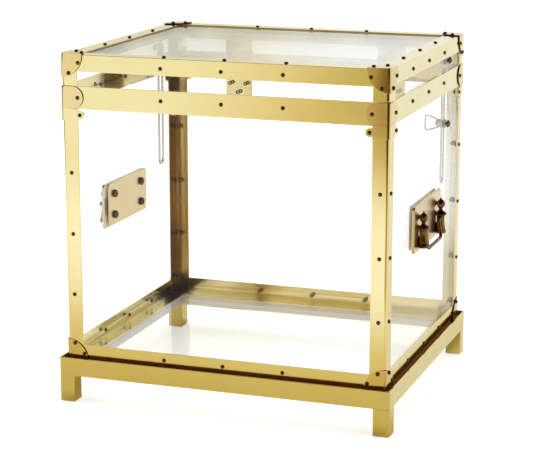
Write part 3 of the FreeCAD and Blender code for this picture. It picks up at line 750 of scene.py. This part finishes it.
# Brightness of the floor by how far it is from the middle of the box, measured square, in metres.
NEAR_FLOOR = (
    (0.11, 0.95), (0.15, 0.42), (0.19, 0.45), (0.23, 0.66), (0.316, 0.72), (0.373, 0.76), (0.456, 0.81),
    (0.549, 0.89), (0.694, 1.05), (0.834, 1.10), (1.23, 1.10), (1.6, 1.0),
)
# How much the floor in front of the right corner is dimmed, by direction, and from where to where it sets in.
CORNER_GLOOM = ((-1.0, 0.0), (0.05, 0.0), (0.09, 0.5), (0.32, 0.5), (0.40, 0.0), (1.0, 0.0))
GLOOM_START = 0.7
GLOOM_END = 0.9
# Nearer to the middle than the first of these the floor's light is all warm. Beyond the second it is as
# WARMTH says.
WARM_INSIDE = 0.19
WARM_OUTSIDE = 0.215
FAR_START = 1.25
FAR_END = 2.3
GLOW_HEIGHT = 0.6 * MM
CEILING = 3.2
CEILING_REACH = 5.0


def grey_ramp(tree, factor, stops, scale):
    """A ramp of plain values. scale keeps values over 1 in the ramp's range."""
    return ramp(tree, factor, [(at, (value / scale,) * 3) for at, value in stops])


def mixed(tree, share, first, second):
    node = add(tree, "ShaderNodeMix", data_type="RGBA")
    link(tree, share, node.inputs["Factor"])
    link(tree, first, node.inputs["A"])
    link(tree, second, node.inputs["B"])
    return node.outputs["Result"]


def compass(tree, vector):
    """The direction of a vector seen from above, as 0 to 1 from the back round by the left."""
    split = add(tree, "ShaderNodeSeparateXYZ")
    link(tree, vector, split.inputs["Vector"])
    forward = math_node(tree, "MULTIPLY", split.outputs["Y"], -1.0)
    turn = math_node(tree, "ARCTAN2", split.outputs["X"], forward)
    return math_node(tree, "MULTIPLY_ADD", turn, 0.5 / pi, 0.5)


def by_compass(tree, place, stops, scale):
    return grey_ramp(tree, place, [(0.5 + at / 2, value) for at, value in stops], scale)


def shaded(tree, brightness, warmth):
    warm = ramp(tree, brightness, [(at / TOP_SHADE, colour) for at, colour in WARM_SHADES])
    cool = ramp(tree, brightness, [(at / TOP_SHADE, colour) for at, colour in COOL_SHADES])
    return mixed(tree, warmth, cool, warm)


world = bpy.data.worlds.new("studio")
bpy.context.scene.world = world
world.use_nodes = True
tree = world.node_tree
place = compass(tree, add(tree, "ShaderNodeTexCoord").outputs["Generated"])
sky = shaded(tree, by_compass(tree, place, AROUND, TOP_SHADE), by_compass(tree, place, WARMTH, 1.0))
link(tree, sky, tree.nodes["Background"].inputs["Color"])


def glowing(name):
    """A material that only shines. Its colour is linked to what comes back last."""
    material, tree, shader = fresh(name)
    light = add(tree, "ShaderNodeEmission", {"Strength": 1.0})
    link(tree, light.outputs["Emission"], tree.nodes["Material Output"].inputs["Surface"])
    return material, tree, light.inputs["Color"]


glow, tree, colour = glowing("floor_glow")
vector = add(tree, "ShaderNodeTexCoord").outputs["Object"]
place = compass(tree, vector)
split = add(tree, "ShaderNodeSeparateXYZ")
link(tree, vector, split.inputs["Vector"])
reach_x = math_node(tree, "ABSOLUTE", split.outputs["X"])
reach_y = math_node(tree, "ABSOLUTE", split.outputs["Y"])
reach = NEAR_FLOOR[-1][0]
square_reach = math_node(tree, "MAXIMUM", reach_x, reach_y)
away_share = math_node(tree, "DIVIDE", square_reach, reach)
near = grey_ramp(tree, away_share, [(at / reach, value) for at, value in NEAR_FLOOR], TOP_SHADE)
distance = add(tree, "ShaderNodeVectorMath", operation="LENGTH")
link(tree, vector, distance.inputs[0])
far_range = {"From Min": FAR_START, "From Max": FAR_END}
share = add(tree, "ShaderNodeMapRange", far_range, interpolation_type="SMOOTHSTEP")
link(tree, distance.outputs["Value"], share.inputs["Value"])
brightness = mixed(tree, share.outputs["Result"], near, by_compass(tree, place, AROUND, TOP_SHADE))
gloom_range = add(tree, "ShaderNodeMapRange", {"From Min": GLOOM_START, "From Max": GLOOM_END})
link(tree, distance.outputs["Value"], gloom_range.inputs["Value"])
gloom_side = by_compass(tree, place, CORNER_GLOOM, 1.0)
dimmed = math_node(tree, "MULTIPLY", gloom_range.outputs["Result"], gloom_side)
brightness = math_node(tree, "MULTIPLY", brightness, math_node(tree, "SUBTRACT", 1.0, dimmed))
warm_range = {"From Min": WARM_INSIDE, "From Max": WARM_OUTSIDE, "To Min": 1.0, "To Max": 0.0}
under = add(tree, "ShaderNodeMapRange", warm_range)
link(tree, square_reach, under.inputs["Value"])
warmth = math_node(tree, "MAXIMUM", under.outputs["Result"], by_compass(tree, place, WARMTH, 1.0))
link(tree, shaded(tree, brightness, warmth), colour)
square_card("reflected_floor", FLOOR_REACH, GLOW_HEIGHT, glow, True)

dim, tree, colour = glowing("ceiling_gloom")
gloom = noise(tree, stretched(tree, (1, 1, 1)), 0.6)
link(tree, ramp(tree, gloom, ((0.3, (0.020, 0.012, 0.004)), (0.7, (0.035, 0.022, 0.008)))), colour)
square_card("dark_ceiling", CEILING_REACH, CEILING, dim, True)


def soft_light(name, place, size, watts):
    data = bpy.data.lights.new(name, "AREA")
    data.shape = "SQUARE"
    data.size = size
    data.energy = watts
    lamp = bpy.data.objects.new(name, data)
    lamp.location = place
    lamp.visible_glossy = False
    lamp.rotation_euler = (Vector((0, 0, 0.2)) - Vector(place)).to_track_quat("-Z", "Y").to_euler()
    bpy.context.scene.collection.objects.link(lamp)


soft_light("overhead", (0.0, 0.3, 3.0), 3.0, 60)
soft_light("left_fill", (-2.4, -0.6, 1.8), 1.8, 16)
soft_light("rear_fill", (0.8, 2.6, 1.8), 2.0, 16)

back = Vector((sin(AZIMUTH) * cos(ELEVATION), -cos(AZIMUTH) * cos(ELEVATION), sin(ELEVATION)))
camera_data = bpy.data.cameras.new("view")
camera_data.lens = LENS
camera_data.sensor_width = SENSOR
camera = bpy.data.objects.new("view", camera_data)
camera.location = AIM + back * DISTANCE
camera.rotation_euler = (-back).to_track_quat("-Z", "Y").to_euler()
bpy.context.scene.collection.objects.link(camera)
bpy.context.scene.camera = camera
bpy.context.scene.view_settings.view_transform = "Standard"
bpy.context.scene.cycles.transparent_max_bounces = 32
